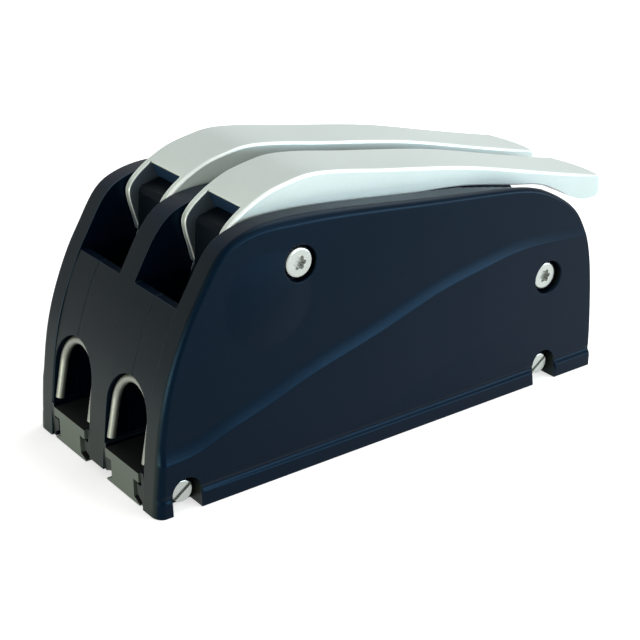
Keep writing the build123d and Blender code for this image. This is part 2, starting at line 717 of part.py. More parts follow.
lines = {"1": -unit_pitch / 2, "2": unit_pitch / 2}
for line, centre in lines.items():
    save(at_cell(base_plate.part, centre), "base_plate_" + line)
    save(at_cell(rope_pad.part, centre), "rope_pad_" + line)
    save(at_cell(rope_guide.part, centre), "rope_guide_" + line)
    save(at_cell(handle.part, centre), "handle_" + line)
    save(at_cell(drive_block.part, centre), "drive_block_" + line)
    save(at_cell(drive_pin, centre), "drive_pin_" + line)
    save(at_cell(ear_washer, centre), "ear_washer_far_" + line)
    save(at_cell(mirrored(ear_washer), centre), "ear_washer_near_" + line)
    save(at_cell(cam.part, centre), "cam_" + line)
    save(at_cell(cam_bush, centre), "cam_bush_" + line)
    save(at_cell(cam_spacer, centre), "cam_spacer_" + line)
    save(at_cell(cam_spring.part, centre), "cam_spring_" + line)
    save(at_cell(rear_guard.part, centre), "rear_guard_" + line)

save(rod(pivot_x, pivot_z, -axle_half, axle_half, axle_radius), "lever_axle")
save(tapped_axle(cam_axle_x, cam_axle_z), "cam_axle")
save(tapped_axle(rear_axle_x, rear_axle_z), "rear_axle")

bolts = {"front": torx_screw(*front_bolt), "rear": torx_screw(*rear_bolt)}
ties = {"front": tie_screw(tie_front_x), "rear": tie_screw(tie_rear_x)}
for end in ("front", "rear"):
    save(bolts[end], "torx_screw_" + end + "_near")
    save(mirrored(bolts[end]), "torx_screw_" + end + "_far")
    save(ties[end], "tie_screw_" + end + "_near")
    save(mirrored(ties[end]), "tie_screw_" + end + "_far")
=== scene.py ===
import json
import math

import bmesh
import bpy
import numpy as np
from mathutils import Matrix, Vector
from mathutils.geometry import delaunay_2d_cdt


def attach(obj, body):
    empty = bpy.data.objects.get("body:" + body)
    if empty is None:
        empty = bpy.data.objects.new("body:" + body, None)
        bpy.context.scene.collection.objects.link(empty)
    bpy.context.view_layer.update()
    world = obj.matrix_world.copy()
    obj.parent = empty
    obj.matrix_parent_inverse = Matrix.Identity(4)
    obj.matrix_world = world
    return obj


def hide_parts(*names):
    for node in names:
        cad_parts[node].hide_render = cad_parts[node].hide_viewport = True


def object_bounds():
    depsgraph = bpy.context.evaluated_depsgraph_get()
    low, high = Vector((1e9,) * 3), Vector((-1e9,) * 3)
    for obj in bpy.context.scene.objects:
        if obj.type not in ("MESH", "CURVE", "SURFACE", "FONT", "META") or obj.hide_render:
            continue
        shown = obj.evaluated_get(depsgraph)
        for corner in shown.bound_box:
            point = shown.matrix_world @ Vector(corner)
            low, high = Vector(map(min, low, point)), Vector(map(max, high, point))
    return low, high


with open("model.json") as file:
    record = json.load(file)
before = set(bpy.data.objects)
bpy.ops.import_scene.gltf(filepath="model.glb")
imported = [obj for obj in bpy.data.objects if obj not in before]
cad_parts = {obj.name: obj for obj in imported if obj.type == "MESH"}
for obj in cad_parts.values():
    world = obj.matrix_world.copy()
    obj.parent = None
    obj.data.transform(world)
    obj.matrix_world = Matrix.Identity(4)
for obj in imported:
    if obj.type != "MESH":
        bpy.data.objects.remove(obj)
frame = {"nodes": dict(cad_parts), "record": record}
cad_low, cad_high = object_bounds()
MM = 0.001

# ---- What the frame says: bodies, slots and joints -----------------------------
behaviour = frame["record"]["behaviour"]
body_of = {node: body for body, nodes in behaviour["bodies"].items() for node in nodes}
slot_of = {part["node"]: part["material_slot"] for part in frame["record"]["subparts"]}
joint_at = {joint["name"]: [round(value / MM, 3) for value in joint["pos_m"]]
            for joint in behaviour["joints"]}

# ---- Sizes that repeat the CAD, in millimetres ---------------------------------
# The walls
FRONT, REAR, CROWN = round(cad_low[0] / MM, 1), 84.0, 79.8
WALL_INNER, WALL_OUTER = 27.4, 35.0
EDGE_RADIUS = 1.4
LIP_HEIGHT, LIP_PROUD = 5.0, 1.0
DOME_RADIUS, DOME_HEIGHT = 14.7, 0.8
BORE_RADIUS = 5.9
BORES = [(joint_at["cam_lift_1"][0], joint_at["cam_lift_1"][2], 2.9), (62.5, 36.9, 3.8)]   # x, z and depth
TIES = [-75.5, 62.6]
NOTCH_WIDTH, NOTCH_HEIGHT, NOTCH_DEPTH = 9.5, 10.9, 5.6
RELIEF_X, RELIEF_Z, RELIEF_DEPTH, RELIEF_SLOPE = 54.0, 68.8, 2.6, 14.0
LEDGE_FRONT, LEDGE_REAR = -84.6, 83.0
LEDGE = [(27.4, 0.05), (26.0, 0.05), (26.0, 1.5), (23.6, 3.3),      # y and z of the ledge and its tongue
         (23.6, 6.6), (26.0, 6.6), (26.0, 11.3), (27.4, 11.3)]

# The levers
PIVOT = (joint_at["lever_lift_1"][0], joint_at["lever_lift_1"][2])
LINES = {line: joint_at["lever_lift_" + line][1] for line in ("1", "2")}
LEVER_HALF, FORK_HALF, LEVER_CROWN = 11.0, 8.4, round(cad_high[2] / MM, 1)
TAIL_END, TAIL_BOW = 94.99, 3.3
SKIN_THICKNESS, HOLLOW_FRONT, HOLLOW_REAR = 3.4, -32.5, 48.3
FORK_TOP, WEB_Z, FORK_SLOPE = (-47.6, 82.3), 73.3, 3.2
EYE_RADIUS, AXLE_HOLE, PIN_HOLE, PIN_RISE = 6.6, 4.05, 1.52, 13.4

# ---- Sizes of the finer shapes that only the shown pieces have -----------------
FRONT_RIM, RIM, REAR_RIM = 2.8, 1.6, 0.8      # rounding of a wall's outer rim
RIM_AT, RIM_TILT = [-110, -85, 10, 50], 0.6   # where it changes, as X less this share of Z
INNER_ROUND, INNER_STEPS = 0.2, 3             # rounding of the rim towards the rope
TOP_ROWS, TOP_GAP, RIM_STEPS = 8, 0.05, 8     # rows over the top of a rim, and round it
SIDE_GRID, INNER_GRID = 0.8, 6.0              # spacing of the points on a wall's sides
BORE_POINTS, CHAMFER, CHAMFER_STEPS = 48, 0.35, 4
NOTCH_POINTS = 25
CREASE, CREASE_STEPS = 0.85, 5                # rounding of a lever's outer edges
EAR_CREASE, EAR_STEPS = 0.35, 3               # rounding of the edges inside its fork and hollow
TAIL_START, TAIL_HIGH_ROUND, TAIL_LOW_ROUND = 60.0, 1.3, 2.1
EYE_FROM, EYE_TO, EYE_POINTS = 61.1, -222.4, 60
FORK_ROUND, FORK_ROUND_REACH = 5, 0.6         # steps and reach of the rounding over the fork's notch
CORE_ROWS = 7

# ---- Curves and outlines --------------------------------------------------------
SPLINE_STEPS = 40
SHARPEST = 0.6          # cosine of half the sharpest turn at which an inward offset is kept exact


def unit(vectors):
    return vectors / np.linalg.norm(vectors, axis=-1, keepdims=True)


def ease(t):
    t = np.clip(t, 0, 1)
    return t * t * (3 - 2 * t)


def quarter(steps):
    """Angles over a quarter turn."""
    return [math.pi / 2 * k / steps for k in range(steps + 1)]


def spline_slopes(p, h):
    """Slopes of the natural cubic spline through the points p, with the spans h between them."""
    n = len(p)
    a, b = np.zeros((n, n)), np.zeros((n, 2))
    a[0, 0], a[0, 1], b[0] = 2 * h[0], h[0], 3 * (p[1] - p[0])
    a[-1, -1], a[-1, -2], b[-1] = 2 * h[-1], h[-1], 3 * (p[-1] - p[-2])
    for i in range(1, n - 1):
        a[i, i - 1], a[i, i], a[i, i + 1] = h[i], 2 * (h[i - 1] + h[i]), h[i - 1]
        b[i] = 3 * (h[i] * (p[i] - p[i - 1]) / h[i - 1] + h[i - 1] * (p[i + 1] - p[i]) / h[i])
    return np.linalg.solve(a, b)


def spline(points, step):
    """Evenly spaced points along a smooth curve through points."""
    p = np.array(points, dtype=float)
    h = np.sqrt(np.linalg.norm(np.diff(p, axis=0), axis=1))
    m = spline_slopes(p, h)
    fine = []
    for i in range(len(p) - 1):
        for s in np.linspace(0, 1, SPLINE_STEPS, endpoint=False):
            fine.append((1 + 2 * s) * (1 - s) ** 2 * p[i] + s * (1 - s) ** 2 * h[i] * m[i]
                        + s * s * (3 - 2 * s) * p[i + 1] + s * s * (s - 1) * h[i] * m[i + 1])
    fine = np.array(fine + [p[-1]])
    along = np.concatenate([[0], np.cumsum(np.linalg.norm(np.diff(fine, axis=0), axis=1))])
    want = np.linspace(0, along[-1], max(2, int(round(along[-1] / step))) + 1)
    return np.stack([np.interp(want, along, fine[:, 0]), np.interp(want, along, fine[:, 1])], axis=1)


def ring(cx, cz, radius, count):
    a = np.linspace(0, 2 * math.pi, count, endpoint=False)
    return np.stack([cx + radius * np.cos(a), cz + radius * np.sin(a)], axis=1)


def rounded(a, b, c, count=8):
    """Points between a and c on the curve that rounds the corner b."""
    t = np.linspace(0, 1, count + 1)[1:-1, None]
    return (1 - t) ** 2 * a + 2 * t * (1 - t) * b + t * t * c


def on_curve(curve, xs):
    """The points of a curve at each of xs."""
    order = np.argsort(curve[:, 0])
    return np.stack([xs, np.interp(xs, curve[order, 0], curve[order, 1])], axis=1)


def shrink(loop, amount):
    """A clockwise loop moved inwards by an amount for each of its points."""
    before, after = unit(loop - np.roll(loop, 1, axis=0)), unit(np.roll(loop, -1, axis=0) - loop)
    along = unit(before + after)
    stretch = 1 / np.maximum((along * before).sum(axis=1), SHARPEST)
    return loop + np.stack([along[:, 1], -along[:, 0]], axis=1) * (amount * stretch)[:, None]


# ---- Filling an outline with triangles -------------------------------------------
CLEAR_OF_SIDES, CLEAR_OF_LINES = 0.6, 0.35      # gap round the grid's points, as a share of its spacing
LINE_MARGIN = 0.3                               # least distance of a line's points from the outline
SHORTEST = 1e-9                                 # least squared length, so that nothing is divided by zero
MERGE = 1e-6


def inside(points, polygon):
    """Which points lie inside a polygon."""
    x, z = points[:, 0][:, None], points[:, 1][:, None]
    x0, z0 = polygon[:, 0][None], polygon[:, 1][None]
    x1, z1 = np.roll(polygon[:, 0], -1)[None], np.roll(polygon[:, 1], -1)[None]
    with np.errstate(divide="ignore", invalid="ignore"):
        cut = ((z0 > z) != (z1 > z)) & (x < (x1 - x0) * (z - z0) / (z1 - z0) + x0)
    return cut.sum(axis=1) % 2 == 1


def distance(points, polygon):
    """How far each point lies from the sides of a polygon."""
    a = polygon[None]
    b = np.roll(polygon, -1, axis=0)[None]
    p = points[:, None]
    ab = b - a
    t = np.clip(((p - a) * ab).sum(-1) / np.maximum((ab * ab).sum(-1), SHORTEST), 0, 1)
    return np.sqrt((((a + ab * t[..., None]) - p) ** 2).sum(-1)).min(axis=1)


def grid_in(loop, holes, spacing, lines):
    """Points in staggered rows inside a loop, clear of its sides, its holes and the lines."""
    xs = np.arange(loop[:, 0].min(), loop[:, 0].max(), spacing)
    zs = np.arange(loop[:, 1].min(), loop[:, 1].max(), spacing)
    grid = np.array([(x + (spacing / 2 if j % 2 else 0), z) for j, z in enumerate(zs) for x in xs])
    grid = grid[inside(grid, loop)]
    grid = grid[distance(grid, loop) > spacing * CLEAR_OF_SIDES]
    for hole in holes:
        grid = grid[~inside(grid, hole)]
        grid = grid[distance(grid, hole) > spacing * CLEAR_OF_SIDES]
    for line in lines:
        grid = grid[distance(grid, np.vstack([line, line[::-1]])) > spacing * CLEAR_OF_LINES]
    return grid


def fill(loop, holes=(), spacing=None, lines=()):
    """Points and counter-clockwise triangles that fill a loop round its holes, with edges along the lines."""
    loop = np.asarray(loop, dtype=float)
    points, edges = [], []
    for closed in (loop, *holes):
        start, count = len(points), len(closed)
        points += [tuple(p) for p in closed]
        edges += [(start + i, start + (i + 1) % count) for i in range(count)]
    for line in lines:
        kept = line[inside(line, loop) & (distance(line, loop) > LINE_MARGIN)]
        start = len(points)
        points += [tuple(p) for p in kept]
        edges += [(start + i, start + i + 1) for i in range(len(kept) - 1)]
    if spacing:
        points += [tuple(p) for p in grid_in(loop, holes, spacing, lines)]
    found, _, cells, *_ = delaunay_2d_cdt([Vector(p) for p in points], edges, [], 0, MERGE)
    found = np.array([tuple(v) for v in found])
    middles = np.array([found[list(cell)].mean(axis=0) for cell in cells])
    wanted = inside(middles, loop)
    for hole in holes:
        wanted &= ~inside(middles, hole)
    kept = []
    for cell in (list(cell) for cell, keep in zip(cells, wanted) if keep):
        a, b, c = found[cell]
        turn = (b[0] - a[0]) * (c[1] - a[1]) - (b[1] - a[1]) * (c[0] - a[0])
        kept.append(cell if turn > 0 else cell[::-1])
    return found, kept


# ---- Material nodes ---------------------------------------------------------------
WHITE = (1, 1, 1)
GRAIN_DETAIL, BLOTCH_DETAIL = 3.0, 4.0
GRAIN_SHARE = 0.35           # of the fine grain in the mottle, the rest is soft blotches
SHADE_END, BASE_END = 0.35, 0.65
MOTTLE_SPAN = 0.3, 0.7       # over which the roughness changes
BUMP_DISTANCE = 0.0002
TURN_FROM, TURN_TO = 0.75, 0.95      # how nearly a face looks along a direction, as a cosine
FOOT_TONE_HIGH, FOOT_TONE_LOW = 0.040, 0.012     # height over which the foot tone comes in towards the foot, in metres; on the walls it is painted light from low


def link(tree, a, b):
    tree.links.new(a, b)


def calculate(tree, operation, *values):
    """Output of a maths node. Each value is a number or the output of another node."""
    node = tree.nodes.new("ShaderNodeMath")
    node.operation = operation
    for socket, value in zip(node.inputs, values):
        if isinstance(value, float):
            socket.default_value = value
        else:
            link(tree, value, socket)
    return node.outputs[0]


def remap(tree, value, start, end, low=0.0, high=1.0):
    """A value's way from start to end, as low to high."""
    node = tree.nodes.new("ShaderNodeMapRange")
    for name, number in (("From Min", start), ("From Max", end), ("To Min", low), ("To Max", high)):
        node.inputs[name].default_value = number
    link(tree, value, node.inputs["Value"])
    return node.outputs["Result"]


def noise(tree, source, scale, detail):
    node = tree.nodes.new("ShaderNodeTexNoise")
    node.inputs["Scale"].default_value = scale
    node.inputs["Detail"].default_value = detail
    link(tree, source, node.inputs["Vector"])
    return node.outputs["Fac"]


def two_tone(tree, mottle, shade, base):
    """shade to base, as the mottle goes."""
    node = tree.nodes.new("ShaderNodeValToRGB")
    for element, position, colour in zip(node.color_ramp.elements, (SHADE_END, BASE_END), (shade, base)):
        element.position = position
        element.color = (*colour, 1)
    link(tree, mottle, node.inputs["Fac"])
    return node.outputs["Color"]


def mix_in(tree, colour, other, mask):
    """colour, mixed towards other where mask is 1."""
    node = tree.nodes.new("ShaderNodeMix")
    node.data_type = "RGBA"
    link(tree, mask, node.inputs["Factor"])
    link(tree, colour, node.inputs[6])
    node.inputs[7].default_value = (*other, 1)
    return node.outputs[2]


def mark(tree, name):
    """The marks that a mesh has on its faces in the attribute of this name."""
    node = tree.nodes.new("ShaderNodeAttribute")
    node.attribute_name = name
    return node.outputs["Fac"]


def face_colour(tree, place, colour, direction, facing_tone, foot_tone):
    """colour, with facing_tone on the faces that look in a direction, and foot_tone on those of them near the
    foot.
    """
    look = tree.nodes.new("ShaderNodeVectorMath")
    look.operation = "DOT_PRODUCT"
    look.inputs[1].default_value = direction
    link(tree, place.outputs["Normal"], look.inputs[0])
    turned = remap(tree, look.outputs["Value"], TURN_FROM, TURN_TO)
    colour = mix_in(tree, colour, facing_tone, turned)
    spot = tree.nodes.new("ShaderNodeSeparateXYZ")
    link(tree, place.outputs["Object"], spot.inputs[0])
    low = remap(tree, spot.outputs["Z"], FOOT_TONE_HIGH, FOOT_TONE_LOW)
    return mix_in(tree, colour, foot_tone, calculate(tree, "MULTIPLY", low, turned))


def new_material(name):
    material = bpy.data.materials.new(name)
    material.use_nodes = True
    return material, material.node_tree, material.node_tree.nodes["Principled BSDF"]


def finish(name, base, shade, rough, metallic=0.0, specular=0.5, grain=900.0, relief=0.06, blotch=18.0,
           rough_span=0.08, streak=(1, 1, 1), tint=WHITE, painted_edge_colour=None, inner_shade=None, facing=None):
    """Grainy painted, moulded or metal surface.

    base and shade are mixed by soft blotches and a fine grain, which streak stretches.
    painted_edge_colour is the painted highlight or painted shade on the faces that a mesh marks in its
    "rub" attribute, inner_shade the painted shade on faces marked "inner". facing is a direction,
    the colour of the faces that look that way, and their colour at the foot.
    """
    material, tree, shader = new_material(name)
    place = tree.nodes.new("ShaderNodeTexCoord")
    mapping = tree.nodes.new("ShaderNodeMapping")
    mapping.inputs["Scale"].default_value = streak
    link(tree, place.outputs["Object"], mapping.inputs["Vector"])
    fine = noise(tree, mapping.outputs["Vector"], grain, GRAIN_DETAIL)
    soft = noise(tree, place.outputs["Object"], blotch, BLOTCH_DETAIL)
    mottle = calculate(tree, "MULTIPLY_ADD", fine, GRAIN_SHARE,
                       calculate(tree, "MULTIPLY", soft, 1 - GRAIN_SHARE))

    colour = two_tone(tree, mottle, shade, base)
    # Painted shade on the faces marked as inside hollows.
    if inner_shade:
        colour = mix_in(tree, colour, inner_shade, mark(tree, "inner"))
    # Painted light on rounded edges, mixed in by the soft blotches: lighter as a painted highlight, or darker
    # as a painted shade.
    if painted_edge_colour:
        colour = mix_in(tree, colour, painted_edge_colour, calculate(tree, "MULTIPLY", mark(tree, "rub"), soft))
    if facing:
        colour = face_colour(tree, place, colour, *facing)
    link(tree, colour, shader.inputs["Base Color"])
    roughness = remap(tree, mottle, *MOTTLE_SPAN, rough - rough_span, rough + rough_span)
    link(tree, roughness, shader.inputs["Roughness"])

    bump = tree.nodes.new("ShaderNodeBump")
    bump.inputs["Strength"].default_value = relief
    bump.inputs["Distance"].default_value = BUMP_DISTANCE
    link(tree, fine, bump.inputs["Height"])
    link(tree, bump.outputs["Normal"], shader.inputs["Normal"])
    shader.inputs["Metallic"].default_value = metallic
    shader.inputs["Specular IOR Level"].default_value = specular
    shader.inputs["Specular Tint"].default_value = (*tint, 1)
    return material


# ---- Finishes, one for each material slot and one for the guide wires ---------------
SKY = (0.22, 0.55, 0.95)
FRONT_LOOK, UP = (-0.97, 0, 0.24), (0, 0, 1)
DRAWN = (1, 1, 6)
PLATE_TOP = (0.004, 0.005, 0.005)

# The walls' front faces get a neutral tone that is painted light, lighter towards the foot as painted light
# from low; their rounded edges get a lighter painted highlight.
composite = finish("wall_composite_finish", (0.0005, 0.0024, 0.0070), (0.0003, 0.0018, 0.0056), 0.36,
                   specular=0.13, relief=0.04, rough_span=0.05, tint=SKY, painted_edge_colour=(0.07, 0.10, 0.135),
                   facing=(FRONT_LOOK, (0.0012, 0.0020, 0.0014), (0.0115, 0.0150, 0.0112)))
plate = finish("plate_composite_finish", (0.072, 0.090, 0.078), (0.056, 0.072, 0.063), 0.5, specular=0.25,
               facing=(UP, PLATE_TOP, PLATE_TOP))
# The levers' rounded creases and inner edges get a near-white painted highlight; the faces inside their
# hollow and fork get a dark blue painted shade.
satin = finish("cast_alloy_finish", (0.54, 0.60, 0.58), (0.50, 0.56, 0.54), 0.40, metallic=0.30, relief=0.03,
               blotch=30.0, rough_span=0.04, painted_edge_colour=(0.90, 0.94, 0.96), inner_shade=(0.006, 0.020, 0.048))
# Its rounded edges get a near-black painted shade.
dark = finish("dark_alloy_finish", (0.0014, 0.0026, 0.0040), (0.0010, 0.0020, 0.0032), 0.36, specular=0.05,
              tint=SKY, painted_edge_colour=(0.001, 0.001, 0.001))
steel = finish("stainless_finish", (0.46, 0.48, 0.45), (0.38, 0.40, 0.38), 0.30, metallic=1.0, relief=0.04,
               streak=DRAWN)
wire = finish("guide_wire_finish", (0.235, 0.250, 0.225), (0.165, 0.178, 0.165), 0.36, metallic=0.6,
              relief=0.05, streak=DRAWN)
cam_steel = finish("cam_steel_finish", (0.42, 0.42, 0.41), (0.33, 0.33, 0.32), 0.34, metallic=1.0)
bearing = finish("bearing_plastic_finish", (0.5, 0.49, 0.45), (0.42, 0.41, 0.38), 0.45)
FINISH = {"wall_composite": composite, "plate_composite": plate, "cast_alloy": satin, "dark_alloy": dark,
          "stainless": steel, "cam_steel": cam_steel, "bearing_plastic": bearing}


# ---- Pieces --------------------------------------------------------------------------
def new_piece(name, mesh, body, slot, nodes):
    """A shown mesh that rides on body and stands for the CAD nodes."""
    piece = bpy.data.objects.new(name, mesh)
    bpy.context.scene.collection.objects.link(piece)
    mesh.materials.clear()
    mesh.materials.append(FINISH[slot])
    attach(piece, body)
    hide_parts(*nodes)
    return piece


def smooth_by_angle(bm, angle):
    """Smooth faces, with the edges sharper than an angle in degrees kept."""
    for face in bm.faces:
        face.smooth = True
    for edge in bm.edges:
        edge.smooth = not (len(edge.link_faces) == 2 and edge.calc_face_angle(0) > math.radians(angle))


def even_shading(piece):
    """Weights the shading by the area of the faces, so that flat ones look flat up to their edges."""
    weighting = piece.modifiers.new("weighted", "WEIGHTED_NORMAL")
    weighting.keep_sharp = True


# ---- Pieces that keep their CAD shape, with softened edges ---------------------------
SHARP_ANGLE, SMOOTH_ANGLE = 28.0, 40.0
WELD, FLATTEN_ANGLE = 0.004, 0.06
SOFTENED = {"centre_wall": 0.55, "front_cheek_near": 0.45, "front_cheek_far": 0.45}
SOFTENED_ON_EACH_LINE = {"base_plate_": 0.35, "rope_pad_": 0.12, "drive_block_": 0.4, "cam_": 0.3,
                         "rear_guard_": 0.6, "ear_washer_near_": 0.15, "ear_washer_far_": 0.15}


def soften(node, width, segments=3):
    """A copy of a CAD node with its sharp edges rounded by width millimetres."""
    mesh = frame["nodes"][node].data.copy()
    mesh.name = node + "_skin"
    bm = bmesh.new()
    bm.from_mesh(mesh)
    bmesh.ops.remove_doubles(bm, verts=bm.verts, dist=WELD * MM)
    bmesh.ops.dissolve_limit(bm, angle_limit=math.radians(FLATTEN_ANGLE), verts=bm.verts, edges=bm.edges)
    rub = bm.faces.layers.float.new("rub")
    sharp = [edge for edge in bm.edges
             if len(edge.link_faces) == 2 and edge.calc_face_angle(0) > math.radians(SHARP_ANGLE)]
    made = bmesh.ops.bevel(bm, geom=sharp, offset=width * MM, offset_type="OFFSET", segments=segments,
                           profile=0.5, affect="EDGES", clamp_overlap=True)
    # The rounded faces are marked for painted light on the edges: a lighter painted highlight, or a
    # near-black painted shade on the dark alloy.
    for face in made["faces"]:
        face[rub] = 1.0
    smooth_by_angle(bm, SMOOTH_ANGLE)
    bm.to_mesh(mesh)
    bm.free()
    if mesh.has_custom_normals:
        mesh.attributes.remove(mesh.attributes["custom_normal"])
    even_shading(new_piece(node + "_shown", mesh, body_of[node], slot_of[node], [node]))


# ---- Side walls: outline, crease and relief ------------------------------------------
f, r, h = FRONT, REAR, CROWN
PROFILE = [(f, 0), (f + 1.0, 11.9), (f + 3.6, 30.6), (f + 7.9, 45.6), (f + 13.6, h - 21.5),
           (f + 17.4, h - 15.1), (f + 22.2, h - 7.5), (f + 27.4, h - 3.0), (f + 35.6, h - .5), (f + 43, h),
           (f + 59.9, h - .9), (f + 98.6, h - 5.5), (r - 38, h - 9.4), (r - 29, h - 11.3), (r - 22, h - 14.2),
           (r - 11.4, h - 21.4), (r - 6.7, h - 28), (r - 4.1, 45.5), (r - 1.9, 35), (r - .1, 13), (r, 0)]
SWOOSH = [(f - 4, 17), (f + 12, 17), (f + 24.3, 21), (f + 36, 24.4), (f + 54, 30.4), (f + 79, h - 42.8),
          (f + 101.5, h - 36), (f + 118.3, h - 32.8), (r - 33.6, h - 30.5), (r - 15, h - 31.4),
          (r + 4, h - 32.4)]
EDGE_STEP, SWOOSH_STEP = 0.9, 0.5                # spacing of the points along both
SWOOSH_EDGES = (-0.3, 0.0, 0.3, 0.9, 1.6)        # mesh edges along the crease, this far above it
SLOPE_WIDTH = ([-85, -20, 40, 84], [4.6, 4.4, 4.0, 3.6])       # of the slope above the crease, by X
SWELL = ([-85, 0, 35, 60, 84], [0.95, 0.95, 0.80, 0.45, 0.20])     # how far the crease stands proud, by X
CREST = 0.3                                      # half the width of its rounded crest
SWELL_REACH, SWELL_LOSS = 26.0, 0.55             # the swell loses this share over this reach below it
SLOPE_POWER, DOME_POWER = 1.5, 1.25              # how hollow the slope is, and how flat the dome's foot
LIP_RISE, LIP_BLEND = 0.25, 1.0                  # the lip ends this far above its height, over this much
GULLY_RISE, GULLY_WIDTH, GULLY_DEPTH = 0.9, 0.55, 0.22     # the groove over the lip

edge = spline(PROFILE, EDGE_STEP)
tangent = unit(np.gradient(edge, axis=0))
inward = np.stack([tangent[:, 1], -tangent[:, 0]], axis=1)
outward = np.stack([-inward[:, 0], np.zeros(len(edge)), -inward[:, 1]], axis=1)
rim = np.interp(edge[:, 0] - edge[:, 1] * RIM_TILT, RIM_AT, [RIM, FRONT_RIM, RIM, REAR_RIM])

swoosh_line = spline(SWOOSH, SWOOSH_STEP)
swoosh_slope = np.gradient(swoosh_line[:, 1], swoosh_line[:, 0])
swoosh_turn = unit(np.gradient(swoosh_line, axis=0))
swoosh_up = np.stack([-swoosh_turn[:, 1], swoosh_turn[:, 0]], axis=1)
swoosh_edges = [(swoosh_line + swoosh_up * away)[::2] for away in SWOOSH_EDGES]


def swell(x, z):
    """The swell below the crease and the slope that ends it above."""
    tilt = np.interp(x, swoosh_line[:, 0], swoosh_slope)
    away = (z - np.interp(x, swoosh_line[:, 0], swoosh_line[:, 1])) / np.sqrt(1 + tilt ** 2)
    height = np.interp(x, *SWELL)
    slope = height * np.clip(1 - away / np.interp(x, *SLOPE_WIDTH), 0, 1) ** SLOPE_POWER
    below = height * (1 - SWELL_LOSS * np.clip(-away / SWELL_REACH, 0, 1))
    above = ease((away + CREST) / (2 * CREST))
    return slope * above + below * (1 - above)


def relief(x, z):
    """How far the outer side of a wall stands proud of its flat, in millimetres."""
    x, z = np.asarray(x, dtype=float), np.asarray(z, dtype=float)
    lip = ease((LIP_HEIGHT + LIP_RISE - z) / LIP_BLEND)
    gully = np.exp(-((z - (LIP_HEIGHT + GULLY_RISE)) / GULLY_WIDTH) ** 2)
    from_dome = np.hypot(x - PIVOT[0], z - PIVOT[1]) / DOME_RADIUS
    dome = DOME_HEIGHT * np.clip(1 - from_dome ** 2, 0, 1) ** DOME_POWER
    return swell(x, z) * (1 - lip) + LIP_PROUD * lip - GULLY_DEPTH * gully + dome


def relief_normal(x, z, side, step=0.05):
    """Normals of the outer side, from its slope over a small step."""
    gx = (relief(x + step, z) - relief(x - step, z)) / (2 * step)
    gz = (relief(x, z + step) - relief(x, z - step)) / (2 * step)
    return unit(np.stack([-gx, np.full_like(gx, side), -gz], axis=-1))


def foot(points):
    """Keeps the first and last point of a rim line on the deck plane."""
    points = points.copy()
    points[0, 1] = points[-1, 1] = 0.0
    return points


def notch_loop(cx):
    """Arched notch round a tie screw, from the foot up and back to it."""
    half = NOTCH_WIDTH / 2
    a = np.linspace(0, math.pi, NOTCH_POINTS)
    arch = np.stack([cx + half * np.cos(a), NOTCH_HEIGHT - half + half * np.sin(a)], axis=1)
    return np.vstack([(arch[0, 0], 0.0), arch, (arch[-1, 0], 0.0)])


side_edge = foot(edge + inward * rim[:, None])
notches = [notch_loop(x) for x in TIES]
bore_rings = [ring(x, z, BORE_RADIUS, BORE_POINTS) for x, z, _ in BORES]


def foot_points(start, end):
    """Points along the foot about a millimetre apart, without the ends."""
    return [(x, 0.0) for x in np.linspace(start, end, max(2, int(abs(start - end))))[1:-1]]


def side_outline():
    """Outline of a wall's outer side: along its rim, then back along the foot and round the notches."""
    points = [tuple(p) for p in side_edge]
    cursor = side_edge[-1][0]
    for notch in notches[::-1]:
        points += foot_points(cursor, notch[0][0]) + [tuple(p) for p in notch]
        cursor = notch[-1][0]
    return np.array(points + foot_points(cursor, side_edge[0][0]))


# ---- Side walls: their mesh -----------------------------------------------------------
FALL = math.tan(math.radians(RELIEF_SLOPE))
LEAN = RELIEF_DEPTH / (WALL_OUTER - EDGE_RADIUS - WALL_INNER) / math.cos(math.radians(RELIEF_SLOPE))


class Shell:
    """A wall's mesh. side is -1 for the near wall and 1 for the far one.

    Faces are given as on the near wall, and turned round on the far one.
    """

    def __init__(self, side):
        self.side = side
        self.verts = []
        self.normals = []
        self.faces = []

    def put(self, points, y, normal):
        """Adds points by X and Z, at y from the middle of the part, and returns the first one's number."""
        start, count = len(self.verts), len(points)
        for (px, pz), py, out in zip(points, np.broadcast_to(y, count), np.broadcast_to(normal, (count, 3))):
            self.verts.append((px * MM, self.side * py * MM, pz * MM))
            self.normals.append(tuple(out))
        return start

    def face(self, corners):
        corners = list(corners)
        self.faces.append(corners if self.side < 0 else corners[::-1])

    def strip(self, a, b, count, closed=False):
        """Faces between the rows of points that start at a and at b."""
        for i in range(count if closed else count - 1):
            j = (i + 1) % count
            self.face((a + i, a + j, b + j, b + i))

    def flat(self, loop, holes, spacing, depth, normal, lines=(), inwards=False):
        """Fills a loop round its holes. depth and normal are worked out from X and Z."""
        found, cells = fill(loop, holes, spacing, lines)
        start = self.put(found, depth(found[:, 0], found[:, 1]), normal(found[:, 0], found[:, 1]))
        for cell in cells:
            corners = [start + i for i in cell]
            self.face(corners[::-1] if inwards else corners)

    def recess(self, loop, top, floor, normals, closed=False):
        """The side of a recess from top down to its flat floor, and the floor."""
        self.strip(self.put(loop, top, normals), self.put(loop, floor, normals), len(loop), closed)
        start = self.put(loop, floor, (0, self.side, 0))
        self.face(range(start, start + len(loop)))

    def mesh(self, name, highlit):
        """The mesh, with its first faces marked for a painted highlight."""
        mesh = bpy.data.meshes.new(name)
        mesh.from_pydata(self.verts, [], self.faces)
        mesh.update()
        for polygon in mesh.polygons:
            polygon.use_smooth = True
        rub = mesh.attributes.new("rub", "FLOAT", "FACE")
        for i in range(highlit):
            rub.data[i].value = 1.0
        mesh.normals_split_custom_set_from_vertices(self.normals)
        return mesh


